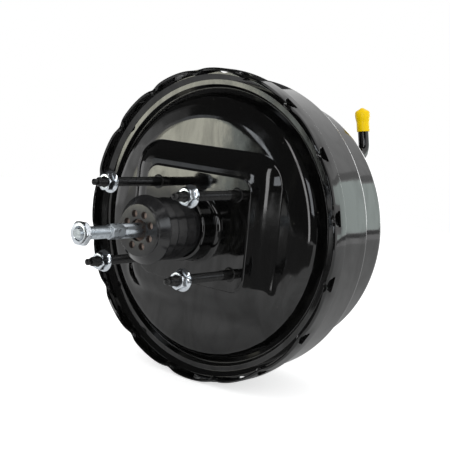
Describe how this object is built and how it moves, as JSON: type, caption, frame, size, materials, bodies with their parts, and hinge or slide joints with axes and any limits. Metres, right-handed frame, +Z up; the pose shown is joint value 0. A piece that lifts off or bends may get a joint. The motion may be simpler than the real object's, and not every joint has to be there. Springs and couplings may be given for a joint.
{
  "type": "brake booster",
  "caption": "Single-diaphragm vacuum brake booster: crimped drum, pedal rod with dust boot and lock nut, bulkhead studs with flange nuts, capped vacuum pipe.",
  "frame": {"origin": "on the booster's axis, in the plane of the mounting pad's face", "axes": "+Y along the axis from the pedal side to the engine side, +Z up, +X to the right as seen from the pedal side"},
  "size_m": [0.2632, 0.2852, 0.2632],
  "materials": {
    "black_paint": "gloss black enamel",
    "bare_steel": "bare pressed steel",
    "black_phosphate": "oiled black phosphate",
    "bright_zinc": "bright blue zinc plate",
    "yellow_zinc": "faint yellow zinc plate",
    "spring_steel": "oil tempered wire",
    "boot_rubber": "soft sheen",
    "seal_rubber": "matte",
    "phenolic": "moulded resin",
    "nylon": "natural",
    "filter_felt": "needled felt",
    "silencer_foam": "open foam",
    "cap_vinyl": "soft vinyl, satin"
  },
  "bodies": {
    "housing": {"front_shell": "black_paint", "rear_shell": "black_paint", "rear_reinforcement": "bare_steel", "front_reinforcement": "bare_steel", "mounting_studs": "black_phosphate", "mounting_nuts": "bright_zinc", "master_cylinder_studs": "black_phosphate", "front_seal": "seal_rubber", "front_seal_retainer": "nylon", "rear_bearing": "nylon", "rear_seal": "seal_rubber", "rear_seal_retainer": "bare_steel", "vacuum_pipe": "black_paint", "vacuum_pipe_collar": "black_paint", "dust_boot": "boot_rubber", "diaphragm": "seal_rubber", "return_spring": "spring_steel"},
    "piston": {"valve_body": "phenolic", "diaphragm_plate": "bare_steel", "plate_retainer": "spring_steel", "reaction_disc": "seal_rubber", "output_rod": "bright_zinc", "output_rod_adjuster": "bright_zinc", "output_rod_retainer": "spring_steel", "air_filter": "filter_felt", "silencer": "silencer_foam", "poppet_valve": "seal_rubber", "poppet_retainer": "nylon", "poppet_spring": "spring_steel", "rod_return_spring": "spring_steel", "stop_key": "spring_steel"},
    "valve": {"air_valve": "bare_steel"},
    "rod": {"pushrod": "yellow_zinc", "lock_nut": "bright_zinc", "rod_spring_seat": "bare_steel"},
    "cap": {"vacuum_cap": "cap_vinyl"}
  },
  "joints": [
    {"name": "piston_slide", "type": "slide", "parent": "housing", "child": "piston", "axis": [0, 1, 0], "range_m": [0, 0.03], "stiffness_N_per_m": 4000, "springref_m": -0.03, "deforming": ["dust_boot", "diaphragm", "return_spring"]},
    {"name": "air_valve_slide", "type": "slide", "parent": "piston", "child": "valve", "axis": [0, 1, 0], "range_m": [0, 0.0012], "stiffness_N_per_m": 2000, "springref_m": -0.015, "deforming": ["rod_return_spring"]},
    {"name": "pushrod_tilt", "type": "hinge", "parent": "valve", "child": "rod", "pos_m": [0, 0.002, 0], "axis": [1, 0, 0], "range_deg": [-2, 2], "stiffness_Nm_per_rad": 10},
    {"name": "cap_pull", "type": "slide", "parent": "housing", "child": "cap", "axis": [-0.1908, 0, 0.9816], "range_m": [0, 0.03]}
  ]
}
